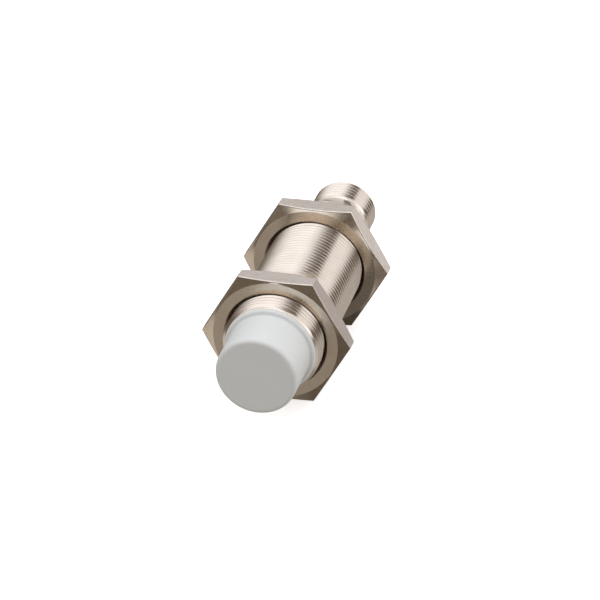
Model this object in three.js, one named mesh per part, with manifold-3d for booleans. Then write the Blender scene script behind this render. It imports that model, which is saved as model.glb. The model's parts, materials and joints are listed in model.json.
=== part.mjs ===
// M18 inductive proximity sensor with an M12 connector and two thin hexagon nuts.
// Millimetres. The axis of the sensor is +Y, from the sensing face at y = 0 to the connector end.
// +Z is up: one flat of each nut faces down, so the sensor can lie on them.
import * as THREE from "three";
import Module from "manifold-3d";
import { mergeVertices } from "three/addons/utils/BufferGeometryUtils.js";

// Overall lengths along the axis.
const CAP_LENGTH = 10;
const BODY_LENGTH = 41.5;
const CONNECTOR_LENGTH = 14;
const BODY_END = CAP_LENGTH + BODY_LENGTH;
const TOTAL_LENGTH = BODY_END + CONNECTOR_LENGTH;

// Clearances that keep neighbouring solids apart.
const GAP = 0.05;
const FIT = 0.1;

// How finely round shapes are faceted.
const ROUND = 48;
const SEAL_ROUND = 36;
const SMALL_ROUND = 24;
const PIN_ROUND = 12;

// Threaded housing tube, M18 x 1.
const THREAD_RADIUS = 9;
const TUBE_BORE = 7.55;
const PLUG_RADIUS = TUBE_BORE - GAP;
const THREAD_CHAMFER = 0.55;

// Nuts: width across flats 24, thickness 4. Each has one shallow and one steep corner chamfer.
const NUT_FLAT_RADIUS = 12;
const NUT_THICKNESS = 4;
const NUT_RING_RADIUS = 11.6;
const NUT_BORE = 9.15;
const NUT_COUNTERSINK = 0.5;
const SHALLOW_CHAMFER = THREE.MathUtils.degToRad(12);
const STEEP_CHAMFER = THREE.MathUtils.degToRad(20);
const FRONT_NUT_Y = 13.45;
const REAR_NUT_Y = 41.45;

// Sensing cap.
const CAP_RADIUS = 7.52;
const CAP_EDGE = 0.75;
const CAP_BORE = 6.5;
const CAP_FRONT_WALL = 1;
const CAP_SLEEVE_END = 15;
const FLANGE_RADIUS = 8.38;
const FLANGE_THICKNESS = 0.6;
const CAP_GROOVE = { from: 12, to: 13.3, radius: 6.93 };

// Pot core, bobbin and winding behind the sensing face.
const CORE_FRONT = CAP_FRONT_WALL + FIT;
const CORE_DEPTH = 4.6;
const CORE_BACK_WALL = 1.4;
const CORE_RADIUS = CAP_BORE - FIT;
const CORE_WALL = 1;
const CORE_POST_RADIUS = 2.8;
const CORE_HOLE_RADIUS = 1;
const BOBBIN_WALL = 0.35;
const LEAD_X = 4.4;
const LEAD_HOLE_RADIUS = 0.5;
const LEAD_RADIUS = 0.2;

// Circuit board, along the axis in the plane z = 0.
const BOARD_FROM = 8.6;
const BOARD_STEP = 45;
const BOARD_TO = 50.4;
const BOARD_HALF_WIDTH = 5.2;
const BOARD_TAIL_HALF_WIDTH = 4.6;
const BOARD_THICKNESS = 0.8;

// Connector shell, M12 x 1, pressed into the rear of the tube.
const SHELL_FROM = 45.5;
const SHELL_GROOVE = { from: 48, to: 49.6, radius: 6.85 };
const SHELL_FLANGE = { radius: 8.4, to: 52.35 };
const SHELL_RADIUS = 6;
const SHELL_UNDERCUT = { from: 57.4, to: 60.4, radius: 5.3 };
const SHELL_END_CHAMFER = 0.5;
const SHELL_BORE = 5.2;
const SOCKET_RADIUS = 4.35;
const SOCKET_STEP = 55.95;

// Contact carrier and pins, A-coded with four poles.
const CARRIER_FACE = 57.6;
const CARRIER_FLANGE = 0.9;
const KEY = { halfWidth: 0.75, inner: 3.6, outer: 4.2, to: 64 };
const PIN_RADIUS = 0.5;
const PIN_CIRCLE_RADIUS = 2.65;
const PIN_FROM = 52.4;
const PIN_TO = 64.5;
const PIN_LEAD_RADIUS = 0.25;
const POLES = 4;

// Light guide ring with lugs that show through windows in the shell.
const GUIDE = { from: 52.6, to: 54.85, inner: 4.4, outer: SHELL_BORE - FIT };
const WINDOW_Y = 53.7;
const WINDOW_RADIUS = 0.8;
const WINDOWS = 4;

// Resin fill and insulating sleeve around the board.
const SLEEVE = { from: 15.15, to: 45.3, inner: 7, outer: TUBE_BORE - FIT };
const RESIN = { from: 10.6, to: 44.8, step: 15.1 };
const RESIN_CHANNEL = { halfWidth: 5.4, low: -2, high: 2.8 };

const wasm = await Module();
wasm.setup();

// ---- materials ----

function material(color, roughness, metalness) {
  return new THREE.MeshStandardMaterial({ color, roughness, metalness });
}

const nickel = () => material(0xb9b1a6, 0.32, 0.95);
const nutNickel = () => material(0xa89a88, 0.4, 0.95);
const capPlastic = () => material(0xd9dbdc, 0.55, 0);
const blackRubber = () => material(0x1c1c1e, 0.8, 0);
const ferrite = () => material(0x3a393b, 0.75, 0.1);
const bobbinPlastic = () => material(0xe8e4d6, 0.6, 0);
const copper = () => material(0xb5673a, 0.35, 0.9);
const boardLaminate = () => material(0x1f6b3f, 0.55, 0);
const chipPlastic = () => material(0x26262a, 0.6, 0);
const chipCeramic = () => material(0xb49a78, 0.6, 0);
const resin = () => material(0x4b4238, 0.5, 0);
const sleevePlastic = () => material(0xd8cfb4, 0.5, 0);
const carrierPlastic = () => material(0x2b2c2e, 0.5, 0);
const gold = () => material(0xd8b25a, 0.3, 0.95);
const lightPlastic = () => material(0xe9dcae, 0.3, 0);
const ledPlastic = () => material(0xf0d070, 0.35, 0);
const leadInsulation = () => material(0x6d4a35, 0.5, 0);

// ---- shapes ----

// A solid of revolution about Y. Each point is [radius, y], anticlockwise with radius to the right.
function lathe(points, segments = ROUND) {
  const profile = points.map(([radius, y]) => new THREE.Vector2(radius, y));
  return new THREE.LatheGeometry(profile, segments);
}

// A ring of revolution with a rectangular section.
function ring(inner, outer, from, to, segments = ROUND) {
  const corners = [[inner, from], [outer, from], [outer, to], [inner, to], [inner, from]];
  return lathe(corners, segments);
}

// A cylinder along Y between two stations.
function cylinder(radius, from, to, segments = ROUND) {
  return lathe([[0, from], [radius, from], [radius, to], [0, to]], segments);
}

// A box given by its lowest and highest corners.
function box(low, high) {
  const size = high.map((value, axis) => value - low[axis]);
  const middle = high.map((value, axis) => (value + low[axis]) / 2);
  return new THREE.BoxGeometry(...size).translate(...middle);
}

// A round wire through a list of points, the same section all the way.
function wire(points, radius, steps = 10) {
  const section = new THREE.Shape().absarc(0, 0, radius, 0, 2 * Math.PI);
  const path = new THREE.CatmullRomCurve3(points.map((point) => new THREE.Vector3(...point)));
  return new THREE.ExtrudeGeometry(section, { steps, extrudePath: path, curveSegments: 4 });
}

function toSolid(geometry) {
  const bare = geometry.index ? geometry.toNonIndexed() : geometry.clone();
  bare.deleteAttribute("normal");
  bare.deleteAttribute("uv");
  const merged = mergeVertices(bare, 1e-4);
  const triangles = [];
  for (let i = 0; i < merged.index.count; i += 3) {
    const [a, b, c] = [0, 1, 2].map((corner) => merged.index.getX(i + corner));
    if (a !== b && b !== c && c !== a) {
      triangles.push(a, b, c);
    }
  }
  return new wasm.Manifold(new wasm.Mesh({
    numProp: 3,
    vertProperties: Float32Array.from(merged.attributes.position.array),
    triVerts: Uint32Array.from(triangles),
  }));
}

function toGeometry(solid) {
  const mesh = solid.getMesh();
  const geometry = new THREE.BufferGeometry();
  const positions = new THREE.BufferAttribute(Float32Array.from(mesh.vertProperties), 3);
  geometry.setAttribute("position", positions);
  geometry.setIndex(new THREE.BufferAttribute(Uint32Array.from(mesh.triVerts), 1));
  return geometry;
}

function cut(geometry, ...tools) {
  let solid = toSolid(geometry);
  for (const tool of tools) {
    solid = solid.subtract(toSolid(tool));
  }
  return toGeometry(solid);
}

function join(geometry, ...others) {
  let solid = toSolid(geometry);
  for (const other of others) {
    solid = solid.add(toSolid(other));
  }
  return toGeometry(solid);
}

// Copies of a tool turned about Y, evenly spaced, the first one at half a step.
function aroundAxis(makeTool, count) {
  const step = (2 * Math.PI) / count;
  return Array.from({ length: count }, (_, i) => makeTool().rotateY((i + 0.5) * step));
}

function mesh(name, geometry, look) {
  const part = new THREE.Mesh(geometry, look);
  part.name = name;
  return part;
}

// ---- nuts ----

// A hexagon nut about Y, from y = 0 to its thickness, with corners on +X and -X.
function nutGeometry(frontChamfer, rearChamfer) {
  const cornerRadius = NUT_FLAT_RADIUS / Math.cos(Math.PI / 6);
  const reach = cornerRadius + 1;
  const drop = (angle) => (reach - NUT_RING_RADIUS) * Math.tan(angle);
  const prism = new THREE.CylinderGeometry(
    cornerRadius, cornerRadius, NUT_THICKNESS, 6, 1, false, Math.PI / 6,
  ).translate(0, NUT_THICKNESS / 2, 0);
  const turned = lathe([
    [0, 0],
    [NUT_RING_RADIUS, 0],
    [reach, drop(frontChamfer)],
    [reach, NUT_THICKNESS - drop(rearChamfer)],
    [NUT_RING_RADIUS, NUT_THICKNESS],
    [0, NUT_THICKNESS],
  ]);
  const beyond = 1;
  const mouth = NUT_BORE + NUT_COUNTERSINK + beyond;
  const bore = lathe([
    [0, -beyond],
    [mouth, -beyond],
    [NUT_BORE, NUT_COUNTERSINK],
    [NUT_BORE, NUT_THICKNESS - NUT_COUNTERSINK],
    [mouth, NUT_THICKNESS + beyond],
    [0, NUT_THICKNESS + beyond],
  ]);
  return toGeometry(toSolid(prism).intersect(toSolid(turned)).subtract(toSolid(bore)));
}

function nut(name, y, frontChamfer, rearChamfer) {
  const group = new THREE.Group();
  group.position.y = y;
  group.add(mesh(name, nutGeometry(frontChamfer, rearChamfer), nutNickel()));
  return group;
}

// ---- housing ----

function housingTube() {
  const from = CAP_LENGTH + GAP;
  const root = THREAD_RADIUS - THREAD_CHAMFER;
  return lathe([
    [TUBE_BORE, from],
    [root, from],
    [THREAD_RADIUS, from + THREAD_CHAMFER],
    [THREAD_RADIUS, BODY_END - THREAD_CHAMFER],
    [root, BODY_END],
    [TUBE_BORE, BODY_END],
    [TUBE_BORE, from],
  ]);
}

function sensingCap() {
  const edge = [30, 60, 90].map((degrees) => {
    const angle = THREE.MathUtils.degToRad(degrees);
    const radius = CAP_RADIUS - CAP_EDGE * (1 - Math.sin(angle));
    return [radius, CAP_EDGE * (1 - Math.cos(angle))];
  });
  return lathe([
    [0, 0],
    [CAP_RADIUS - CAP_EDGE, 0],
    ...edge,
    [CAP_RADIUS, CAP_LENGTH - FLANGE_THICKNESS],
    [FLANGE_RADIUS, CAP_LENGTH - FLANGE_THICKNESS],
    [FLANGE_RADIUS, CAP_LENGTH],
    [PLUG_RADIUS, CAP_LENGTH],
    [PLUG_RADIUS, CAP_GROOVE.from],
    [CAP_GROOVE.radius, CAP_GROOVE.from],
    [CAP_GROOVE.radius, CAP_GROOVE.to],
    [PLUG_RADIUS, CAP_GROOVE.to],
    [PLUG_RADIUS, CAP_SLEEVE_END],
    [CAP_BORE, CAP_SLEEVE_END],
    [CAP_BORE, CAP_FRONT_WALL],
    [0, CAP_FRONT_WALL],
  ]);
}

// A seal ring that fills the depth of a groove.
function sealRing(groove) {
  const inner = groove.radius + GAP;
  const middle = (inner + PLUG_RADIUS) / 2;
  const seal = new THREE.TorusGeometry(middle, PLUG_RADIUS - middle, 6, SEAL_ROUND);
  return seal.rotateX(Math.PI / 2).translate(0, (groove.from + groove.to) / 2, 0);
}

// ---- coil ----

function leadHoles(from, to) {
  return [-LEAD_X, LEAD_X].map((x) => cylinder(LEAD_HOLE_RADIUS, from, to, 8).translate(x, 0, 0));
}

function ferriteCore() {
  const back = CORE_FRONT + CORE_DEPTH;
  const floor = back - CORE_BACK_WALL;
  const pot = lathe([
    [CORE_HOLE_RADIUS, CORE_FRONT],
    [CORE_POST_RADIUS, CORE_FRONT],
    [CORE_POST_RADIUS, floor],
    [CORE_RADIUS - CORE_WALL, floor],
    [CORE_RADIUS - CORE_WALL, CORE_FRONT],
    [CORE_RADIUS, CORE_FRONT],
    [CORE_RADIUS, back],
    [CORE_HOLE_RADIUS, back],
    [CORE_HOLE_RADIUS, CORE_FRONT],
  ], SMALL_ROUND);
  return cut(pot, ...leadHoles(CORE_FRONT, back + 1));
}

const BOBBIN = {
  from: CORE_FRONT + FIT,
  to: CORE_FRONT + CORE_DEPTH - CORE_BACK_WALL - FIT,
  inner: CORE_POST_RADIUS + FIT,
  outer: CORE_RADIUS - CORE_WALL - FIT,
};

function coilBobbin() {
  const hub = BOBBIN.inner + BOBBIN_WALL;
  const spool = lathe([
    [BOBBIN.inner, BOBBIN.from],
    [BOBBIN.outer, BOBBIN.from],
    [BOBBIN.outer, BOBBIN.from + BOBBIN_WALL],
    [hub, BOBBIN.from + BOBBIN_WALL],
    [hub, BOBBIN.to - BOBBIN_WALL],
    [BOBBIN.outer, BOBBIN.to - BOBBIN_WALL],
    [BOBBIN.outer, BOBBIN.to],
    [BOBBIN.inner, BOBBIN.to],
    [BOBBIN.inner, BOBBIN.from],
  ], SMALL_ROUND);
  return cut(spool, ...leadHoles(BOBBIN.to - BOBBIN_WALL - GAP, BOBBIN.to + 1));
}

function coilWinding() {
  const inner = BOBBIN.inner + BOBBIN_WALL + FIT;
  const from = BOBBIN.from + BOBBIN_WALL + FIT;
  const to = BOBBIN.to - BOBBIN_WALL - FIT;
  return ring(inner, BOBBIN.outer - FIT, from, to, SMALL_ROUND);
}

// A lead from the winding through the core's back wall to the front edge of the board.
function coilLead(side) {
  const over = BOARD_THICKNESS / 2 + LEAD_RADIUS + FIT;
  const start = BOBBIN.to - BOBBIN_WALL;
  const x = side * LEAD_X;
  return wire([
    [x, start, 0],
    [x, CORE_FRONT + CORE_DEPTH, 0.1],
    [x, BOARD_FROM - 1.2, over - 0.1],
    [x, BOARD_FROM + 0.3, over],
    [x, BOARD_FROM + 1.6, over],
  ], LEAD_RADIUS);
}

// ---- board ----

function circuitBoard() {
  const outline = new THREE.Shape([
    new THREE.Vector2(-BOARD_HALF_WIDTH, BOARD_FROM),
    new THREE.Vector2(BOARD_HALF_WIDTH, BOARD_FROM),
    new THREE.Vector2(BOARD_HALF_WIDTH, BOARD_STEP),
    new THREE.Vector2(BOARD_TAIL_HALF_WIDTH, BOARD_STEP),
    new THREE.Vector2(BOARD_TAIL_HALF_WIDTH, BOARD_TO),
    new THREE.Vector2(-BOARD_TAIL_HALF_WIDTH, BOARD_TO),
    new THREE.Vector2(-BOARD_TAIL_HALF_WIDTH, BOARD_STEP),
    new THREE.Vector2(-BOARD_HALF_WIDTH, BOARD_STEP),
  ]);
  const board = new THREE.ExtrudeGeometry(outline, { depth: BOARD_THICKNESS, bevelEnabled: false });
  return board.translate(0, 0, -BOARD_THICKNESS / 2);
}

// Components on the board: [name, x, y, width, length, height, look]. A negative height is underneath.
const COMPONENTS = [
  ["oscillator_chip", 0, 17, 4, 5, 1.4, chipPlastic],
  ["output_transistor", 1.6, 33.5, 2.6, 4.4, 1.5, chipPlastic],
  ["protection_diode", 0, 40.5, 2.6, 4.3, 2, chipPlastic],
  ["voltage_regulator", 0, 30, 2.6, 3, -1.2, chipPlastic],
  ["resistor_1", -3, 22.5, 1.25, 2, 0.5, chipPlastic],
  ["resistor_2", 0, 22.5, 1.25, 2, 0.5, chipPlastic],
  ["resistor_3", 3, 22.5, 1.25, 2, 0.5, chipPlastic],
  ["resistor_4", -2.4, 34, 1.6, 3.2, 0.6, chipPlastic],
  ["capacitor_1", -2.6, 27.5, 1.6, 3.2, 1.2, chipCeramic],
  ["capacitor_2", 2.6, 27.5, 1.6, 3.2, 1.2, chipCeramic],
  ["capacitor_3", 0, 14, 1.25, 2, -0.9, chipCeramic],
  ["status_led_1", -3.6, 49.3, 0.8, 1.6, 0.7, ledPlastic],
  ["status_led_2", 3.6, 49.3, 0.8, 1.6, 0.7, ledPlastic],
];

function component([name, x, y, width, length, height, look]) {
  const side = Math.sign(height);
  const near = side * (BOARD_THICKNESS / 2 + GAP);
  const far = near + height;
  const low = [x - width / 2, y - length / 2, Math.min(near, far)];
  const high = [x + width / 2, y + length / 2, Math.max(near, far)];
  return mesh(name, box(low, high), look());
}

function resinFill() {
  const { halfWidth, low, high } = RESIN_CHANNEL;
  const fill = lathe([
    [0, RESIN.from],
    [CAP_BORE - FIT, RESIN.from],
    [CAP_BORE - FIT, RESIN.step],
    [SLEEVE.inner - FIT, RESIN.step],
    [SLEEVE.inner - FIT, RESIN.to],
    [0, RESIN.to],
  ], SMALL_ROUND);
  return cut(fill, box([-halfWidth, RESIN.from - 1, low], [halfWidth, RESIN.to + 1, high]));
}

// ---- connector ----

function connectorShell() {
  const slope = SHELL_RADIUS - SHELL_UNDERCUT.radius;
  const body = lathe([
    [SHELL_BORE, SHELL_FROM],
    [PLUG_RADIUS, SHELL_FROM],
    [PLUG_RADIUS, SHELL_GROOVE.from],
    [SHELL_GROOVE.radius, SHELL_GROOVE.from],
    [SHELL_GROOVE.radius, SHELL_GROOVE.to],
    [PLUG_RADIUS, SHELL_GROOVE.to],
    [PLUG_RADIUS, BODY_END + GAP],
    [SHELL_FLANGE.radius, BODY_END + GAP],
    [SHELL_FLANGE.radius, SHELL_FLANGE.to],
    [SHELL_RADIUS, SHELL_FLANGE.to],
    [SHELL_RADIUS, SHELL_UNDERCUT.from],
    [SHELL_UNDERCUT.radius, SHELL_UNDERCUT.from],
    [SHELL_UNDERCUT.radius, SHELL_UNDERCUT.to - slope],
    [SHELL_RADIUS, SHELL_UNDERCUT.to],
    [SHELL_RADIUS, TOTAL_LENGTH - SHELL_END_CHAMFER],
    [SHELL_RADIUS - SHELL_END_CHAMFER, TOTAL_LENGTH],
    [SOCKET_RADIUS, TOTAL_LENGTH],
    [SOCKET_RADIUS, SOCKET_STEP],
    [SHELL_BORE, SOCKET_STEP],
    [SHELL_BORE, SHELL_FROM],
  ]);
  const drill = () => radialPost(WINDOW_RADIUS, SHELL_BORE - 1, SHELL_RADIUS + 1);
  return cut(body, ...aroundAxis(drill, WINDOWS));
}

// A short cylinder that points along +Z at the station of the windows.
function radialPost(radius, from, to) {
  return cylinder(radius, from, to, PIN_ROUND).rotateX(Math.PI / 2).translate(0, WINDOW_Y, 0);
}

function lightGuide() {
  const body = ring(GUIDE.inner, GUIDE.outer, GUIDE.from, GUIDE.to);
  const lug = () => radialPost(WINDOW_RADIUS - FIT, (GUIDE.inner + GUIDE.outer) / 2, SHELL_RADIUS - GAP);
  return join(body, ...aroundAxis(lug, WINDOWS));
}

// The places of the pins: one in each quarter.
function pinPlaces() {
  return Array.from({ length: POLES }, (_, i) => {
    const angle = ((i + 0.5) * 2 * Math.PI) / POLES;
    return { x: PIN_CIRCLE_RADIUS * Math.cos(angle), z: PIN_CIRCLE_RADIUS * Math.sin(angle) };
  });
}

function contactCarrier() {
  const outer = SOCKET_RADIUS - FIT;
  const seat = SOCKET_STEP - GAP;
  const from = seat - CARRIER_FLANGE;
  const disc = lathe([
    [0, from],
    [SHELL_BORE - FIT, from],
    [SHELL_BORE - FIT, seat],
    [outer, seat],
    [outer, CARRIER_FACE],
    [0, CARRIER_FACE],
  ]);
  const key = box([-KEY.halfWidth, seat, KEY.inner], [KEY.halfWidth, KEY.to, KEY.outer]);
  const holes = pinPlaces().map(({ x, z }) => {
    return cylinder(PIN_RADIUS + FIT, from - 1, CARRIER_FACE + 1, PIN_ROUND).translate(x, 0, z);
  });
  return cut(join(disc, key), ...holes);
}

function contactPin({ x, z }) {
  const tip = 0.35;
  const pin = lathe([
    [0, PIN_FROM],
    [PIN_RADIUS, PIN_FROM],
    [PIN_RADIUS, PIN_TO - tip],
    [PIN_RADIUS / 2, PIN_TO],
    [0, PIN_TO],
  ], PIN_ROUND);
  return pin.translate(x, 0, z);
}

// A lead from the board to the tail of a pin.
function pinLead({ x, z }) {
  const side = Math.sign(z);
  const over = side * (BOARD_THICKNESS / 2 + PIN_LEAD_RADIUS + FIT);
  return wire([
    [x, BOARD_TO - 3.4, over],
    [x, BOARD_TO - 1, over],
    [x, BOARD_TO + 0.6, (over + z) / 2],
    [x, PIN_FROM - 0.5, z],
    [x, PIN_FROM - FIT, z],
  ], PIN_LEAD_RADIUS);
}

// ---- assembly ----

function headGroup() {
  const head = new THREE.Group();
  head.add(mesh("sensing_cap", sensingCap(), capPlastic()));
  head.add(mesh("cap_seal_ring", sealRing(CAP_GROOVE), blackRubber()));
  head.add(mesh("ferrite_core", ferriteCore(), ferrite()));
  head.add(mesh("coil_bobbin", coilBobbin(), bobbinPlastic()));
  head.add(mesh("coil_winding", coilWinding(), copper()));
  head.add(mesh("coil_lead_1", coilLead(-1), copper()));
  head.add(mesh("coil_lead_2", coilLead(1), copper()));
  return head;
}

function electronicsGroup() {
  const electronics = new THREE.Group();
  electronics.add(mesh("circuit_board", circuitBoard(), boardLaminate()));
  for (const entry of COMPONENTS) {
    electronics.add(component(entry));
  }
  const sleeve = ring(SLEEVE.inner, SLEEVE.outer, SLEEVE.from, SLEEVE.to, ROUND);
  electronics.add(mesh("insulating_sleeve", sleeve, sleevePlastic()));
  electronics.add(mesh("resin_fill", resinFill(), resin()));
  return electronics;
}

function connectorGroup() {
  const connector = new THREE.Group();
  connector.add(mesh("connector_shell", connectorShell(), nickel()));
  connector.add(mesh("connector_seal_ring", sealRing(SHELL_GROOVE), blackRubber()));
  connector.add(mesh("light_guide", lightGuide(), lightPlastic()));
  connector.add(mesh("contact_carrier", contactCarrier(), carrierPlastic()));
  pinPlaces().forEach((place, i) => {
    connector.add(mesh(`contact_pin_${i + 1}`, contactPin(place), gold()));
    connector.add(mesh(`pin_lead_${i + 1}`, pinLead(place), leadInsulation()));
  });
  return connector;
}

const sensor = new THREE.Group();
sensor.add(mesh("housing_tube", housingTube(), nickel()));
sensor.add(headGroup());
sensor.add(electronicsGroup());
sensor.add(connectorGroup());
sensor.add(nut("front_nut", FRONT_NUT_Y, SHALLOW_CHAMFER, STEEP_CHAMFER));
sensor.add(nut("rear_nut", REAR_NUT_Y, STEEP_CHAMFER, SHALLOW_CHAMFER));

export default sensor;
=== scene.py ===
"""An M18 proximity sensor on a pale studio floor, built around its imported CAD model.

Everything is in metres in the CAD model's frame: +Y runs along the sensor from the sensing face to
the connector, +Z is up, and the sensor lies on one flat of each nut.
"""

import json
import math

import bmesh
import bpy
from mathutils import Matrix, Vector


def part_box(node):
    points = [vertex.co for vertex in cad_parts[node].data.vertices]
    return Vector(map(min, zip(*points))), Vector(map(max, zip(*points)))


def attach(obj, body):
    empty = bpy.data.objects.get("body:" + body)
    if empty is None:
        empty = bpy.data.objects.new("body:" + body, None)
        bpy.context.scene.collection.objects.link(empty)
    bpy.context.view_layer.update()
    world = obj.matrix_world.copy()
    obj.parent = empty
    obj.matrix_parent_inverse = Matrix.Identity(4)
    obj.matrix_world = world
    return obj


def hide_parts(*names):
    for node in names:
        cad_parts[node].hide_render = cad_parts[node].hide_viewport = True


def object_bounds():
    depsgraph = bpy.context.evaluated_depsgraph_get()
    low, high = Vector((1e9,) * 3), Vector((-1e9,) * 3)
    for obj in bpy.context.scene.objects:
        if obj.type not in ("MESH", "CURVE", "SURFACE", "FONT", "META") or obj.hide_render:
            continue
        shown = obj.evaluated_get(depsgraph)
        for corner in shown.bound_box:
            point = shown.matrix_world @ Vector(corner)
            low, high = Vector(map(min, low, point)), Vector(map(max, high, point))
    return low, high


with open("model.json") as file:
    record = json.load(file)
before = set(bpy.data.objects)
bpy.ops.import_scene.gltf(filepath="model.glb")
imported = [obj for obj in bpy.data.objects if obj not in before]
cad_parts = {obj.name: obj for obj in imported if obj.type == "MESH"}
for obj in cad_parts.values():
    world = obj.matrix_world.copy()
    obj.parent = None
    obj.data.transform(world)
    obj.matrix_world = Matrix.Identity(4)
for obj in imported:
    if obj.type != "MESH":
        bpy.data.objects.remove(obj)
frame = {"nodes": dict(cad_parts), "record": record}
cad_low, cad_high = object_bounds()
scene = bpy.context.scene
MM = 0.001
TURN = 2 * math.pi
SLOT_OF = {part["node"]: part["material_slot"] for part in frame["record"]["subparts"]}
BODY_OF = {
    node: body
    for body, nodes in frame["record"]["behaviour"]["bodies"].items()
    for node in nodes
}

# How finely the round surfaces are divided.
THREAD_COUNT = 144
ROUND_COUNT = 96
PIN_COUNT = 32

# Edges that bend more than this stay sharp, unless a piece has its own limit.
SHARP_DEGREES = 30

# Threads: M18 x 1 and M12 x 1. The nuts' bores clear the crests of the barrel.
PITCH = 1.0 * MM
THREAD_DEPTH = 0.61 * MM
NUT_THREAD_DEPTH = 0.35 * MM
NUT_MINOR_RADIUS = 9.03 * MM

# Points of a mesh that lie closer than this are one point.
WELD = 2e-7


# ---- mesh tools ----

def turned_ring(bm, radius, y, count):
    """A ring of vertices about the Y axis. Angle 0 is +Z, and it grows towards +X."""
    angles = [TURN * j / count for j in range(count)]
    return [bm.verts.new((radius * math.sin(a), y, radius * math.cos(a))) for a in angles]


def bridge(bm, first, second):
    """Faces between two closed rings of the same length, or between a ring and one point."""
    count = max(len(first), len(second))
    for j in range(count):
        k = (j + 1) % count
        if len(second) == 1:
            bm.faces.new((first[j], first[k], second[0]))
        elif len(first) == 1:
            bm.faces.new((first[0], second[k], second[j]))
        else:
            bm.faces.new((first[j], first[k], second[k], second[j]))


def revolve(bm, profile, count):
    """A surface of revolution about Y through (radius, y) points. A radius of 0 makes one point."""
    rings = [turned_ring(bm, radius, y, count if radius > 0 else 1) for radius, y in profile]
    for first, second in zip(rings, rings[1:]):
        bridge(bm, first, second)


def fillet(centre, radius, start, end, steps):
    """Points of an arc in the (radius, y) plane. Angles in degrees, 0 outwards and 90 to the rear."""
    angles = [math.radians(start + (end - start) * i / steps) for i in range(steps + 1)]
    return [(centre[0] + radius * math.cos(a), centre[1] + radius * math.sin(a)) for a in angles]


def from_station(y, profile):
    """A profile in millimetres turned into metres, measured along Y from a station in metres."""
    return [(radius * MM, y + along * MM) for radius, along in profile]


def shade(bm, sharp_degrees):
    """Smooth shading, with the edges kept sharp where faces meet at more than an angle."""
    limit = math.radians(sharp_degrees)
    for face in bm.faces:
        face.smooth = True
    for edge in bm.edges:
        edge.smooth = len(edge.link_faces) == 2 and edge.calc_face_angle(0) < limit


def make_piece(bm, name, sharp_degrees=SHARP_DEGREES):
    """Welds the mesh, turns its faces outwards, shades it and makes an object of it."""
    bmesh.ops.remove_doubles(bm, verts=bm.verts, dist=WELD)
    bmesh.ops.recalc_face_normals(bm, faces=bm.faces)
    shade(bm, sharp_degrees)
    mesh = bpy.data.meshes.new(name)
    bm.to_mesh(mesh)
    bm.free()
    piece = bpy.data.objects.new(name, mesh)
    scene.collection.objects.link(piece)
    return piece


def round_edges(piece, width):
    """Rounds the sharp edges of a piece."""
    modifier = piece.modifiers.new("round_edges", "BEVEL")
    modifier.width = width
    modifier.segments = 2
    modifier.limit_method = "ANGLE"
    modifier.angle_limit = math.radians(SHARP_DEGREES)


def combine(piece, tools, operation):
    """Cuts the tools out of a piece, or joins them to it, removes them and shades the result."""
    for tool in tools:
        modifier = piece.modifiers.new("combine", "BOOLEAN")
        modifier.operation = operation
        modifier.solver = "EXACT"
        modifier.object = tool
    graph = bpy.context.evaluated_depsgraph_get()
    result = bpy.data.meshes.new_from_object(piece.evaluated_get(graph))
    piece.modifiers.clear()
    piece.data = result
    for tool in tools:
        bpy.data.objects.remove(tool)
    bm = bmesh.new()
    bm.from_mesh(result)
    shade(bm, SHARP_DEGREES)
    bm.to_mesh(result)
    bm.free()


def hand_over(piece, node, material):
    """The piece stands for a CAD node: it rides on the node's body and takes its material slot."""
    piece.data.materials.clear()
    piece.data.materials.append(material)
    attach(piece, BODY_OF[node])
    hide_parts(node)


# ---- threads ----

# One pitch of a 60 degree thread as (share of pitch, share of depth) points, with soft corners.
THREAD_FORM = [
    (0.000, 0.000), (0.045, 0.000), (0.078, 0.025), (0.105, 0.090), (0.125, 0.147), (0.370, 0.848),
    (0.390, 0.905), (0.430, 0.980), (0.500, 1.000), (0.570, 0.980), (0.610, 0.905), (0.630, 0.848),
    (0.875, 0.147), (0.895, 0.090), (0.922, 0.025), (0.955, 0.000),
]


def thread_band(bm, low, high, crest, depth, bound):
    """A right-hand helical thread between two stations on Y.

    A positive depth is an outer thread and a negative one an inner thread. The mesh follows the
    helix, so crest edges stay clean. bound(y, radius) trims the form at the ends, where it has to
    give one radius all round, so that both ends are flat rings.
    """
    count = THREAD_COUNT
    turns = math.ceil((high - low) / PITCH) + 1
    rows = [
        (low + (turn + share) * PITCH, crest - depth * fall)
        for turn in range(-1, turns)
        for share, fall in THREAD_FORM
    ]
    grid = []
    for station, radius in rows:
        line = []
        for j in range(count):
            y = min(max(station + PITCH * j / count, low), high)
            r = bound(y, radius)
            angle = TURN * j / count
            line.append(bm.verts.new((r * math.sin(angle), y, r * math.cos(angle))))
        grid.append(line)
    step = len(THREAD_FORM)
    for i in range(len(rows) - 1):
        for j in range(count):
            if j < count - 1:
                corners = (grid[i][j], grid[i][j + 1], grid[i + 1][j + 1], grid[i + 1][j])
            elif i + 1 + step < len(rows):
                corners = (grid[i][j], grid[i + step][0], grid[i + 1 + step][0], grid[i + 1][j])
            else:
                continue
            heights = [vertex.co.y for vertex in corners]
            if max(heights) - min(heights) > 1e-9:
                bm.faces.new(corners)
    bmesh.ops.remove_doubles(bm, verts=bm.verts, dist=WELD)
    loose = [vertex for vertex in bm.verts if not vertex.link_faces]
    bmesh.ops.delete(bm, geom=loose, context="VERTS")


def trimmed_between(low, high, end_radius, rise=1.0):
    """A bound for an outer thread: a 45 degree cone in front and one of a given rise at the rear."""
    return lambda y, radius: min(radius, end_radius + y - low, end_radius + rise * (high - y))


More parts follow.
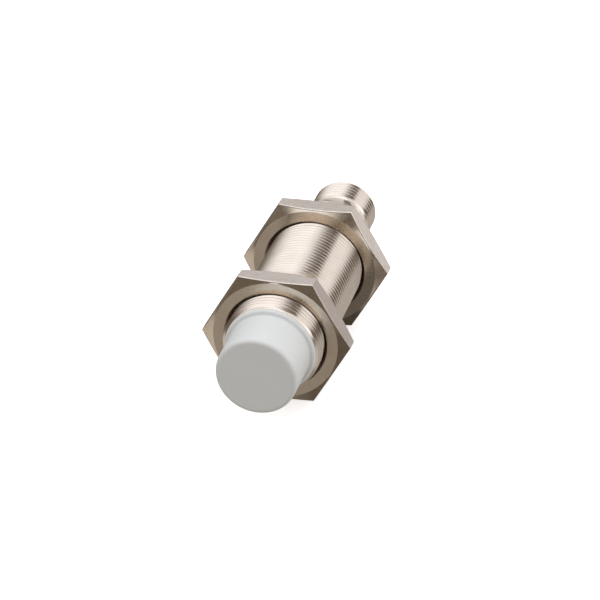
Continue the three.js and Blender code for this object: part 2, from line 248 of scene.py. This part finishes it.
def countersunk(low, high, mouth_radius, minor):
    """A bound for an inner thread: it fades out before the 45 degree countersinks at both ends."""
    depth = mouth_radius - minor
    run_out = 0.4 * MM

    def bound(y, radius):
        inside = min(y - low, high - y)
        share = min(max((inside - depth) / run_out, 0.0), 1.0)
        return max(minor + (radius - minor) * share, mouth_radius - inside)

    return bound


# ---- shader tools ----

class Nodes:
    """A node tree with short calls for the nodes used here."""

    def __init__(self, tree):
        self.tree = tree

    def add(self, kind, inputs=(), **settings):
        node = self.tree.nodes.new(kind)
        for name, value in settings.items():
            setattr(node, name, value)
        for key, value in dict(inputs).items():
            self.put(node.inputs[key], value)
        return node

    def put(self, socket, value):
        if isinstance(value, bpy.types.NodeSocket):
            self.tree.links.new(value, socket)
        else:
            socket.default_value = value

    def math(self, operation, *values):
        node = self.add("ShaderNodeMath", operation=operation)
        for socket, value in zip(node.inputs, values):
            self.put(socket, value)
        return node.outputs[0]

    def noise(self, scale, detail=3.0, roughness=0.5, place=None):
        inputs = {
            "Vector": place or self.place, "Scale": scale, "Detail": detail, "Roughness": roughness,
        }
        return self.add("ShaderNodeTexNoise", inputs).outputs["Fac"]

    def ramp(self, value, low, high, start=0.0, end=1.0, kind="LINEAR"):
        """value from low..high turned into start..end, held outside that."""
        inputs = {
            "Value": value, "From Min": low, "From Max": high, "To Min": start, "To Max": end,
        }
        node = self.add("ShaderNodeMapRange", inputs, interpolation_type=kind)
        return node.outputs["Result"]

    def mix(self, share, first, second):
        """A colour between two colours."""
        node = self.add("ShaderNodeMix", data_type="RGBA")
        self.put(node.inputs["Factor"], share)
        self.put(node.inputs[6], first)
        self.put(node.inputs[7], second)
        return node.outputs[2]

    def axes(self, vector):
        """The x, y and z of a vector."""
        return self.add("ShaderNodeSeparateXYZ", {"Vector": vector}).outputs


class Shader(Nodes):
    """A material around one Principled shader. Its textures use the object's own coordinates."""

    def __init__(self, name, **sockets):
        self.material = bpy.data.materials.new(name)
        self.material.use_nodes = True
        super().__init__(self.material.node_tree)
        self.surface = self.tree.nodes["Principled BSDF"]
        for socket, value in sockets.items():
            self.surface.inputs[socket.replace("_", " ")].default_value = value
        self.place = self.add("ShaderNodeTexCoord").outputs["Object"]

    def stretched(self, x, y, z):
        """The object's coordinates scaled by a factor for each axis."""
        return self.add("ShaderNodeMapping", {"Vector": self.place, "Scale": (x, y, z)}).outputs[0]

    def turned(self):
        """Coordinates for marks of a lathe: (distance from the Y axis, y), the same all round."""
        x, y, z = self.axes(self.place)
        squares = self.math("ADD", self.math("MULTIPLY", x, x), self.math("MULTIPLY", z, z))
        inputs = {"X": self.math("SQRT", squares), "Y": y, "Z": 0.0}
        return self.add("ShaderNodeCombineXYZ", inputs).outputs[0]

    def edges(self, radius):
        """Near 1 along sharp edges and 0 on open surfaces."""
        rounded = self.add("ShaderNodeBevel", {"Radius": radius}, samples=6).outputs[0]
        plain = self.add("ShaderNodeNewGeometry").outputs["Normal"]
        dot = self.add("ShaderNodeVectorMath", operation="DOT_PRODUCT")
        self.put(dot.inputs[0], rounded)
        self.put(dot.inputs[1], plain)
        return self.ramp(dot.outputs["Value"], 0.995, 0.90)

    def bump(self, height, strength, distance, under=None):
        inputs = {"Height": height, "Strength": strength, "Distance": distance}
        if under is not None:
            inputs["Normal"] = under
        return self.add("ShaderNodeBump", inputs).outputs[0]

    def wear(self, base, rough, edge_colour, edge_rough, radius, amount):
        """Mixes a worn colour and roughness in along the edges, broken up by noise."""
        broken = self.ramp(self.noise(1500, 4), 0.35, 0.6)
        mask = self.math("MULTIPLY", self.math("MULTIPLY", self.edges(radius), broken), amount)
        self.put(self.surface.inputs["Base Color"], self.mix(mask, base, edge_colour))
        gap = self.math("SUBTRACT", edge_rough, rough)
        self.put(self.surface.inputs["Roughness"], self.math("MULTIPLY_ADD", gap, mask, rough))

    def relief(self, normal):
        self.put(self.surface.inputs["Normal"], normal)


def rgb(red, green, blue):
    """A colour with full alpha."""
    return (red, green, blue, 1.0)


# ---- materials ----

def nickel_turned():
    """Nickel-plated brass of the barrel and plug: satin, with fine marks round the axis."""
    s = Shader("nickel_turned", Metallic=1.0, Anisotropic=0.3)
    lathe = s.turned()
    marks = s.noise(9000, 2, place=lathe)
    tarnish = s.noise(260, 4)
    base = s.mix(s.ramp(tarnish, 0.35, 0.7), rgb(0.78, 0.72, 0.67), rgb(0.72, 0.66, 0.60))
    uneven = s.ramp(s.noise(900, 4), 0.3, 0.7, 0.08, 0.13)
    rough = s.math("ADD", uneven, s.math("MULTIPLY", marks, 0.04))
    s.wear(base, rough, rgb(0.86, 0.83, 0.79), 0.18, 0.06 * MM, 0.6)
    fine = s.bump(marks, 0.1, 0.002 * MM)
    s.relief(s.bump(s.noise(900, 3), 0.05, 0.004 * MM, fine))
    return s.material


def nickel_nut(name, sheen_phase):
    """Nut finish: turned rings on the faces, milled flats tinted lighter and darker as painted
    reflection, and painted shade in the bore.
    """
    s = Shader(name, Metallic=1.0, Anisotropic=0.35)
    lathe = s.turned()
    x, _, z = s.axes(s.place)
    rings = s.noise(5200, 3, 0.6, place=lathe)
    grain = s.noise(1.0, 4, 0.65, place=s.stretched(1300, 4200, 1300))
    normal = s.add("ShaderNodeTexCoord").outputs["Normal"]
    on_face = s.ramp(s.math("ABSOLUTE", s.axes(normal)[1]), 0.75, 0.9)
    height = s.math("MULTIPLY_ADD", on_face, s.math("SUBTRACT", rings, grain), grain)
    tarnish = s.ramp(s.noise(330, 5, 0.6), 0.35, 0.7)
    face_colour = s.mix(tarnish, rgb(0.71, 0.64, 0.55), rgb(0.65, 0.57, 0.475))
    flat_number = s.math("ROUND", s.math("DIVIDE", s.math("ARCTAN2", x, z), TURN / 6))
    # Painted reflection: each flat is one step further along a sine wave, so neighbouring flats are
    # tinted lighter and darker, standing in for the different reflections that they catch.
    sheen_step = 2.4
    tone = s.math("SINE", s.math("MULTIPLY_ADD", flat_number, sheen_step, sheen_phase))
    lit_flat = s.mix(tarnish, rgb(0.72, 0.66, 0.62), rgb(0.67, 0.61, 0.57))
    shaded_flat = s.mix(tarnish, rgb(0.47, 0.42, 0.39), rgb(0.42, 0.37, 0.34))
    flat_sheen_colour = s.mix(s.ramp(tone, -0.7, 0.25), shaded_flat, lit_flat)
    mottled = s.mix(s.ramp(grain, 0.35, 0.65, 0.0, 0.34), flat_sheen_colour, rgb(0.34, 0.30, 0.27))
    metal = s.mix(on_face, mottled, face_colour)
    # Painted shade: the bore and its countersinks are coloured dark brown, standing in for the shade
    # deep in the gap between the nut and the barrel.
    clear_of_bore_shade = s.ramp(s.axes(lathe)[0], 9.1 * MM, 9.62 * MM)
    base = s.mix(clear_of_bore_shade, rgb(0.38, 0.30, 0.23), metal)
    uneven = s.ramp(s.noise(1100, 4), 0.3, 0.7, 0.11, 0.19)
    rough = s.math("ADD", uneven, s.math("MULTIPLY", height, 0.08))
    s.wear(base, rough, rgb(0.90, 0.87, 0.83), 0.2, 0.14 * MM, 0.7)
    fine = s.bump(height, 0.6, 0.009 * MM)
    s.relief(s.bump(s.noise(1500, 3), 0.15, 0.01 * MM, fine))
    return s.material


def cap_plastic():
    """Pale grey moulded plastic with a fine spark-eroded grain."""
    s = Shader("cap_plastic", IOR=1.5)
    tint = s.ramp(s.noise(220, 4), 0.3, 0.7)
    base = s.mix(tint, rgb(0.708, 0.731, 0.733), rgb(0.688, 0.712, 0.715))
    rough = s.ramp(s.noise(2400, 4), 0.3, 0.7, 0.42, 0.55)
    s.wear(base, rough, rgb(0.84, 0.84, 0.84), 0.38, 0.15 * MM, 0.6)
    grain = s.bump(s.noise(7000, 3), 0.2, 0.006 * MM)
    s.relief(s.bump(s.noise(450, 2), 0.1, 0.03 * MM, grain))
    return s.material


def moulded(name, first, second, low_rough=0.4, high_rough=0.6, grain=5000):
    """A moulded or cast part: two near colours, grain, and paler edges."""
    s = Shader(name)
    base = s.mix(s.ramp(s.noise(400, 4), 0.3, 0.7), rgb(*first), rgb(*second))
    rough = s.ramp(s.noise(2000, 4), 0.3, 0.7, low_rough, high_rough)
    edge = rgb(*[min(1.0, 1.25 * value + 0.02) for value in first])
    s.wear(base, rough, edge, low_rough, 0.1 * MM, 0.6)
    fine = s.bump(s.noise(grain, 3), 0.3, 0.006 * MM)
    s.relief(s.bump(s.noise(600, 2), 0.15, 0.02 * MM, fine))
    return s.material


def plated(name, first, second, low_rough, high_rough):
    """A small bright metal part, such as a pin or a wire."""
    s = Shader(name, Metallic=1.0)
    base = s.mix(s.ramp(s.noise(900, 4), 0.3, 0.7), rgb(*first), rgb(*second))
    rough = s.ramp(s.noise(3000, 4), 0.3, 0.7, low_rough, high_rough)
    s.wear(base, rough, rgb(*[min(1.0, 1.15 * value) for value in first]), low_rough, 0.05 * MM, 0.5)
    s.relief(s.bump(s.noise(6000, 3), 0.2, 0.004 * MM))
    return s.material


def board_laminate():
    """Solder-resist green over a woven glass laminate."""
    s = Shader("board_laminate", IOR=1.5)
    x, y, _ = s.axes(s.place)
    threads = [s.math("SINE", s.math("MULTIPLY", along, 9000)) for along in (x, y)]
    weave = s.math("MULTIPLY", *threads)
    base = s.mix(s.ramp(weave, -1.0, 1.0), rgb(0.02, 0.14, 0.06), rgb(0.03, 0.20, 0.09))
    rough = s.ramp(s.noise(1500, 3), 0.3, 0.7, 0.3, 0.45)
    s.wear(base, rough, rgb(0.45, 0.42, 0.28), 0.6, 0.1 * MM, 0.7)
    s.relief(s.bump(weave, 0.2, 0.008 * MM))
    return s.material


# The finish of each material slot. The nuts have their own.
FINISHES = {
    "nickel_plated_brass": nickel_turned(),
    "cap_plastic": cap_plastic(),
    "seal_rubber": moulded("seal_rubber", (0.03, 0.03, 0.03), (0.05, 0.05, 0.05), 0.55, 0.75),
    "ferrite": moulded("ferrite", (0.10, 0.10, 0.105), (0.14, 0.135, 0.13), 0.55, 0.75, 3000),
    "bobbin_plastic": moulded("bobbin_plastic", (0.78, 0.75, 0.66), (0.72, 0.69, 0.60)),
    "copper": plated("copper", (0.80, 0.42, 0.24), (0.66, 0.30, 0.16), 0.2, 0.35),
    "board_laminate": board_laminate(),
    "chip_plastic": moulded("chip_plastic", (0.04, 0.04, 0.045), (0.06, 0.06, 0.065), 0.5, 0.65),
    "chip_ceramic": moulded("chip_ceramic", (0.52, 0.42, 0.30), (0.45, 0.36, 0.26), 0.35, 0.5),
    "epoxy_resin": moulded("epoxy_resin", (0.13, 0.10, 0.08), (0.10, 0.08, 0.06), 0.25, 0.4, 2500),
    "sleeve_plastic": moulded("sleeve_plastic", (0.70, 0.64, 0.50), (0.64, 0.58, 0.45), 0.3, 0.45),
    "carrier_plastic": moulded("carrier_plastic", (0.035, 0.035, 0.038), (0.05, 0.05, 0.052), 0.4, 0.55),
    "gold_plated_brass": plated("gold_plated_brass", (0.95, 0.72, 0.33), (0.85, 0.60, 0.25), 0.14, 0.26),
    "light_guide_plastic": moulded(
        "light_guide_plastic", (0.82, 0.78, 0.62), (0.76, 0.72, 0.56), 0.15, 0.28,
    ),
    "led_plastic": moulded("led_plastic", (0.85, 0.70, 0.30), (0.80, 0.62, 0.22), 0.2, 0.35),
    "lead_insulation": moulded("lead_insulation", (0.28, 0.13, 0.07), (0.22, 0.10, 0.05), 0.35, 0.5),
}

# Each nut has its own phase of painted reflection on its flats.
NUT_FINISHES = {
    "front_nut": nickel_nut("nickel_front_nut", 1.57),
    "rear_nut": nickel_nut("nickel_rear_nut", 0.37),
}


def finish_of(node):
    """The finish of a CAD node and of the piece that stands for it."""
    return NUT_FINISHES.get(node) or FINISHES[SLOT_OF[node]]


# ---- barrel ----

def barrel():
    """The M18 x 1 tube, with its thread cut from end to end."""
    low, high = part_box("housing_tube")
    crest = high.z
    end = crest - THREAD_DEPTH - 0.03 * MM
    bore = 7.55 * MM
    lip = 0.12 * MM
    bm = bmesh.new()
    thread_band(bm, low.y, high.y, crest, THREAD_DEPTH, trimmed_between(low.y, high.y, end))
    inside = [
        (end, low.y), (bore + lip, low.y), (bore, low.y + lip),
        (bore, high.y - lip), (bore + lip, high.y), (end, high.y),
    ]
    revolve(bm, inside, THREAD_COUNT)
    piece = make_piece(bm, "threaded_barrel", 28)
    hand_over(piece, "housing_tube", finish_of("housing_tube"))


# ---- sensing cap ----

def cap():
    """The moulded cap: rounded face, straight side, flange on the barrel and a grooved sleeve."""
    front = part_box("sensing_cap")[0].y
    profile = [
        (0, 0), (3.5, 0), (6.4, 0),
        *fillet((6.74, 0.78), 0.78, -90, 0, 8),
        (7.52, 9.18),
        *fillet((7.64, 9.24), 0.12, 180, 90, 4),
        *fillet((7.86, 9.84), 0.52, -78, 0, 8),
        (8.38, 9.94), (8.32, 10.0), (7.5, 10.0),
        (7.5, 12.0), (6.93, 12.0), (6.93, 13.3), (7.5, 13.3), (7.5, 14.8), (7.4, 15.0),
        (6.5, 15.0), (6.5, 1.2), (6.3, 1.0), (0, 1.0),
    ]
    bm = bmesh.new()
    revolve(bm, from_station(front, profile), THREAD_COUNT)
    piece = make_piece(bm, "moulded_cap", 35)
    hand_over(piece, "sensing_cap", finish_of("sensing_cap"))


# ---- nuts ----

def nut(node, name, front_chamfer, rear_chamfer):
    """A hexagon nut with turned corner chamfers, sharp flats and a threaded bore."""
    low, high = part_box(node)
    flat_radius = high.z
    ring_radius = 11.6 * MM
    mouth = 9.65 * MM
    minor = NUT_MINOR_RADIUS
    bm = bmesh.new()

    def hexagon_ring(face, slope, inset, depth):
        """A ring along a rim of the hexagon, moved in from its edge and down from the face."""
        ring = []
        for j in range(THREAD_COUNT):
            angle = TURN * j / THREAD_COUNT
            from_flat = (angle + TURN / 12) % (TURN / 6) - TURN / 12
            radius = min(flat_radius / math.cos(from_flat), high.x)
            y = face + slope * (radius - ring_radius) + math.copysign(depth, slope)
            radius -= inset
            ring.append(bm.verts.new((radius * math.sin(angle), y, radius * math.cos(angle))))
        return ring

    # The rounding of both rims: how far each of its rings is moved in and down, along an arc.
    edge = 0.22 * MM
    rim = [(edge, 0.0), (0.5 * edge, 0.134 * edge), (0.134 * edge, 0.5 * edge), (0.0, edge)]
    front_slope = math.tan(math.radians(front_chamfer))
    rear_slope = -math.tan(math.radians(rear_chamfer))
    rings = [
        turned_ring(bm, mouth, low.y, THREAD_COUNT),
        turned_ring(bm, ring_radius, low.y, THREAD_COUNT),
        *[hexagon_ring(low.y, front_slope, inset, depth) for inset, depth in rim],
        *[hexagon_ring(high.y, rear_slope, inset, depth) for inset, depth in reversed(rim)],
        turned_ring(bm, ring_radius, high.y, THREAD_COUNT),
        turned_ring(bm, mouth, high.y, THREAD_COUNT),
    ]
    for first, second in zip(rings, rings[1:]):
        bridge(bm, first, second)
    bound = countersunk(low.y, high.y, mouth, minor)
    thread_band(bm, low.y, high.y, minor, -NUT_THREAD_DEPTH, bound)
    piece = make_piece(bm, name, 8)
    hand_over(piece, node, finish_of(node))


# ---- connector ----

def side_peg(radius, span, y, angle):
    """A tool: a cylinder across the Y axis, at an angle from +Z, between two distances from it."""
    start, end = span
    bm = bmesh.new()
    revolve(bm, [(0, start), (radius, start), (radius, end), (0, end)], PIN_COUNT)
    turn = Matrix.Rotation(math.pi / 2, 4, "X")
    spin = Matrix.Rotation(angle, 4, "Y")
    bm.transform(Matrix.Translation((0, y, 0)) @ spin @ turn)
    return make_piece(bm, "tool")


def window_pegs(radius, span):
    """One peg for each of the four light windows."""
    low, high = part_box("light_guide")
    middle = (low.y + high.y) / 2
    return [side_peg(radius, span, middle, TURN * (i + 0.5) / 4) for i in range(4)]


def connector_shell():
    """The plug's shell: a stepped root in the barrel, collar, undercut, M12 x 1 thread and socket."""
    low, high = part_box("connector_shell")
    crest = 6.0 * MM
    thread_from = low.y + 14.25 * MM
    thread_bound = trimmed_between(thread_from, high.y, 5.36 * MM, 1.5)
    root = [
        (5.2, 0), (7.35, 0), (7.5, 0.15), (7.5, 2.5), (6.85, 2.5), (6.85, 4.1), (7.5, 4.1),
        (7.5, 6.05), (8.25, 6.05), (8.4, 6.2), (8.4, 6.7), (8.25, 6.85),
    ]
    collar = [(6.2, 6.85), (6.06, 6.89), (6.0, 7.05), *fillet((5.7, 11.6), 0.3, 0, 90, 4)]
    undercut = [(5.5, 11.92), (5.34, 12.02), (5.3, 12.2), (5.3, 14.05), (5.32, 14.16), (5.36, 14.25)]
    socket = [
        (5.36, 20.0), (4.6, 20.0), *fillet((4.6, 19.75), 0.25, 90, 180, 4), (4.35, 10.45),
        (5.2, 10.45), (5.2, 0),
    ]
    bm = bmesh.new()
    revolve(bm, from_station(low.y, root + collar + undercut), THREAD_COUNT)
    thread_band(bm, thread_from, high.y, crest, THREAD_DEPTH, thread_bound)
    revolve(bm, from_station(low.y, socket), THREAD_COUNT)
    piece = make_piece(bm, "plug_shell")
    combine(piece, window_pegs(0.8 * MM, (4.5 * MM, 7.0 * MM)), "DIFFERENCE")
    hand_over(piece, "connector_shell", finish_of("connector_shell"))


def light_guide():
    """A clear ring in the shell, with a lug that fills each window."""
    low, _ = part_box("light_guide")
    ring = [(4.4, 0), (5.0, 0), (5.1, 0.1), (5.1, 2.15), (5.0, 2.25), (4.4, 2.25), (4.4, 0)]
    bm = bmesh.new()
    revolve(bm, from_station(low.y, ring), ROUND_COUNT)
    piece = make_piece(bm, "light_ring")
    combine(piece, window_pegs(0.7 * MM, (4.75 * MM, 5.93 * MM)), "UNION")
    round_edges(piece, 0.05 * MM)
    hand_over(piece, "light_guide", finish_of("light_guide"))


def pin_places():
    """The axis of each contact pin, from the middle of its CAD box."""
    places = {}
    for i in range(1, 5):
        low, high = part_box(f"contact_pin_{i}")
        places[i] = ((low.x + high.x) / 2, (low.z + high.z) / 2)
    return places


def coding_key(low, high):
    """The bar along the top of the socket that keys the A-coded plug."""
    start = low.y + 1.0 * MM
    size = Vector((1.5 * MM, high.y - start, 0.6 * MM))
    middle = Vector((0, (high.y + start) / 2, 3.9 * MM))
    bm = bmesh.new()
    bmesh.ops.create_cube(bm, size=1.0)
    bm.transform(Matrix.Translation(middle) @ Matrix.Diagonal((*size, 1.0)))
    return make_piece(bm, "tool")


def pin_hole(low, x, z):
    """A tool for the hole that one pin stands in."""
    bm = bmesh.new()
    hole = [(0, -1.0), (0.6, -1.0), (0.6, 3.0), (0, 3.0)]
    revolve(bm, from_station(low.y, hole), PIN_COUNT)
    bm.transform(Matrix.Translation((x, 0, z)))
    return make_piece(bm, "tool")


def contact_carrier():
    """The insulating disc that holds the pins, with the key along the socket."""
    low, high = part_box("contact_carrier")
    disc = [
        (0, 0), (5.0, 0), (5.1, 0.1), (5.1, 0.9), (4.25, 0.9), (4.25, 2.5), (4.15, 2.6), (0, 2.6),
    ]
    bm = bmesh.new()
    revolve(bm, from_station(low.y, disc), ROUND_COUNT)
    piece = make_piece(bm, "pin_carrier")
    combine(piece, [coding_key(low, high)], "UNION")
    holes = [pin_hole(low, x, z) for x, z in pin_places().values()]
    combine(piece, holes, "DIFFERENCE")
    round_edges(piece, 0.05 * MM)
    hand_over(piece, "contact_carrier", finish_of("contact_carrier"))


def contact_pins():
    """Round pins with a bullet tip at the plug end."""
    tip_length = 0.6 * MM
    # The tip's rings are a thousandth narrower than an ellipse on the pin's radius.
    tip_width = 0.999
    for i, (x, z) in pin_places().items():
        node = f"contact_pin_{i}"
        low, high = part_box(node)
        radius = (high.z - low.z) / 2
        shoulder = high.y - tip_length
        profile = [(0, low.y), (0.85 * radius, low.y), (radius, low.y + 0.1 * MM), (radius, shoulder)]
        for degrees in range(15, 90, 15):
            angle = math.radians(degrees)
            across = radius * math.cos(angle) * tip_width
            profile.append((across, shoulder + tip_length * math.sin(angle)))
        profile.append((0, high.y))
        bm = bmesh.new()
        revolve(bm, profile, PIN_COUNT)
        bm.transform(Matrix.Translation((x, 0, z)))
        hand_over(make_piece(bm, f"plug_pin_{i}"), node, finish_of(node))


# ---- what stays from the CAD model ----

def finish_cad_nodes():
    """Every CAD node that still shows gets its own finish."""
    for name, node in frame["nodes"].items():
        if node.hide_render:
            continue
        node.data.materials.clear()
        node.data.materials.append(finish_of(name))
        for polygon in node.data.polygons:
            polygon.use_smooth = False


# ---- studio ----

def floor():
    """A pale floor under the sensor. Metal doesn't mirror it, so its glare stays out of the nuts."""
    bm = bmesh.new()
    bmesh.ops.create_grid(bm, x_segments=1, y_segments=1, size=3.0)
    bm.transform(Matrix.Translation((0, 0, cad_low.z)))
    piece = make_piece(bm, "floor")
    s = Shader("floor_paper", Roughness=0.9)
    tone = s.mix(s.ramp(s.noise(30, 2), 0.3, 0.7), rgb(0.93, 0.93, 0.93), rgb(0.95, 0.95, 0.95))
    s.put(s.surface.inputs["Base Color"], tone)
    s.surface.inputs["Emission Color"].default_value = rgb(1, 1, 1)
    s.surface.inputs["Emission Strength"].default_value = 0.55
    piece.data.materials.append(s.material)
    piece.visible_glossy = False
    piece.visible_diffuse = False


def shade_under_sensor():
    """The dark patch that metal mirrors from the floor below it. It can't be seen directly."""
    reach = Vector((11.0 * MM, 27.0 * MM))
    bm = bmesh.new()
    bmesh.ops.create_grid(bm, x_segments=1, y_segments=1, size=1.0)
    bm.transform(Matrix.Diagonal((1.5 * reach.x, 1.5 * reach.y, 1.0, 1.0)))
    piece = make_piece(bm, "shade_under_sensor")
    piece.location = (0.0, 40.0 * MM, cad_low.z + 0.02 * MM)
    s = Shader("soft_shade", Roughness=1.0)
    x, y, _ = s.axes(s.place)
    sideways = s.math("POWER", s.math("ABSOLUTE", s.math("DIVIDE", x, reach.x)), 4.0)
    lengthwise = s.math("POWER", s.math("ABSOLUTE", s.math("DIVIDE", y, reach.y)), 4.0)
    cloud = s.math("MULTIPLY", s.ramp(s.noise(200, 2), 0.3, 0.7), 0.1)
    falloff = s.math("ADD", s.math("ADD", sideways, lengthwise), cloud)
    s.put(s.surface.inputs["Base Color"], s.mix(cloud, rgb(0.05, 0.04, 0.03), rgb(0.08, 0.06, 0.05)))
    s.put(s.surface.inputs["Alpha"], s.ramp(falloff, 0.5, 1.5, 0.62, 0.0, kind="SMOOTHSTEP"))
    piece.data.materials.append(s.material)
    piece.visible_camera = False
    piece.visible_diffuse = False
    piece.visible_shadow = False


# The studio's brightness by elevation, from straight down to straight up, away from the panels.
SKY_BY_HEIGHT = [
    (-90, (0.30, 0.26, 0.22)), (-30, (0.45, 0.40, 0.35)), (-10, (0.50, 0.46, 0.42)),
    (0, (0.58, 0.55, 0.52)), (20, (0.74, 0.71, 0.69)), (32, (0.80, 0.78, 0.77)),
    (50, (1.22, 1.23, 1.25)), (90, (1.84, 1.88, 1.94)),
]

# What stands round the sensor, from the first laid to the last: name, azimuths, elevations, colour.
# Azimuth 0 is in front of the sensing face and grows towards +X. Each range is (starts, full from,
# full to, ends) in degrees.
STUDIO_PANELS = [
    ("table_left", (-110, -80, -34, -20), (-70, -60, -26, -16), (0.68, 0.62, 0.56)),
    ("table_right", (34, 60, 140, 160), (-60, -45, -20, -8), (0.62, 0.58, 0.54)),
    ("table_shadow", (-20, -2, 28, 40), (-91, -90, -22, -13), (0.135, 0.11, 0.09)),
    ("back_left_shade", (-181, -180, -120, -95), (-60, -40, 4, 20), (0.22, 0.19, 0.16)),
    ("back_right_panel", (60, 100, 158, 172), (-24, -8, 22, 32), (0.88, 0.85, 0.82)),
    ("left_panel", (-100, -60, 0, 7), (-4, 30, 60, 80), (1.30, 1.28, 1.27)),
    ("left_shade", (-95, -80, -38, -28), (-16, -6, 2, 24), (0.25, 0.22, 0.185)),
    ("edge_left_low", (-80, -66, 10, 30), (-24, -14, -2, 5), (0.17, 0.14, 0.11)),
    ("edge_left_high", (-46, -34, 10, 30), (-10, 0, 9, 17), (0.17, 0.14, 0.11)),
    ("right_panel", (18, 22, 75, 100), (-6, 11, 60, 80), (1.08, 1.04, 1.01)),
    ("right_fill", (48, 60, 105, 125), (2, 12, 34, 44), (1.45, 1.43, 1.42)),
    ("edge_right", (8, 26, 60, 84), (-21, -8, -5, 3), (0.17, 0.135, 0.105)),
    ("front_gap", (-12, 20, 20.5, 23.2), (-8, 0, 42, 55), (0.14, 0.11, 0.085)),
    ("top_gap", (50, 74, 112, 135), (44, 51, 68, 76), (0.24, 0.20, 0.165)),
    ("back_glow", (136, 142, 152, 157), (2, 7, 16, 21), (1.2, 1.14, 1.08)),
    ("back_gap", (154, 160, 173, 180), (14, 20, 36, 44), (0.26, 0.225, 0.19)),
]


def studio():
    """A light tent as the world: soft panels with gaps, painted by direction."""
    world = bpy.data.worlds.new("studio")
    scene.world = world
    world.use_nodes = True
    n = Nodes(world.node_tree)
    background = n.tree.nodes["Background"]
    x, y, z = n.axes(n.add("ShaderNodeTexCoord").outputs["Generated"])
    azimuth = n.math("DEGREES", n.math("ARCTAN2", x, n.math("MULTIPLY", y, -1.0)))
    height = n.math("DEGREES", n.math("ARCSINE", z))
    sky = rgb(*SKY_BY_HEIGHT[0][1])
    for (low, _), (high, colour) in zip(SKY_BY_HEIGHT, SKY_BY_HEIGHT[1:]):
        sky = n.mix(n.ramp(height, low, high), sky, rgb(*colour))
    for _, sideways, upwards, colour in STUDIO_PANELS:
        mask = 1.0
        for angle, (start, full_from, full_to, end) in ((azimuth, sideways), (height, upwards)):
            mask = n.math("MULTIPLY", mask, n.ramp(angle, start, full_from, kind="SMOOTHSTEP"))
            mask = n.math("MULTIPLY", mask, n.ramp(angle, full_to, end, 1.0, 0.0, kind="SMOOTHSTEP"))
        sky = n.mix(mask, sky, rgb(*colour))
    n.put(background.inputs["Color"], sky)
    background.inputs["Strength"].default_value = 1.0


# The viewing angle in degrees, and where the camera stands.
VIEW_AZIMUTH = 14.8719
VIEW_ELEVATION = 29.3977
VIEW_ROLL = -0.4779
VIEW_POINT = (0.15933, -0.56893, 0.34849)


def camera():
    """From the front, to the right of the axis and above, with a long lens."""
    data = bpy.data.cameras.new("camera")
    data.sensor_width = 36.0
    data.lens = 232.8
    data.clip_start = 0.01
    data.clip_end = 50.0
    view = bpy.data.objects.new("camera", data)
    aim = Matrix.Rotation(math.radians(VIEW_AZIMUTH), 4, "Z")
    tilt = Matrix.Rotation(math.radians(90 - VIEW_ELEVATION), 4, "X")
    roll = Matrix.Rotation(math.radians(VIEW_ROLL), 4, "Z")
    view.matrix_world = Matrix.Translation(VIEW_POINT) @ aim @ tilt @ roll
    scene.collection.objects.link(view)
    scene.camera = view


# ---- assembly ----

barrel()
cap()
nut("front_nut", "hexagon_nut_front", 12, 20)
nut("rear_nut", "hexagon_nut_rear", 20, 12)
connector_shell()
light_guide()
contact_carrier()
contact_pins()
finish_cad_nodes()
floor()
shade_under_sensor()
studio()
camera()
scene.view_settings.view_transform = "Standard"
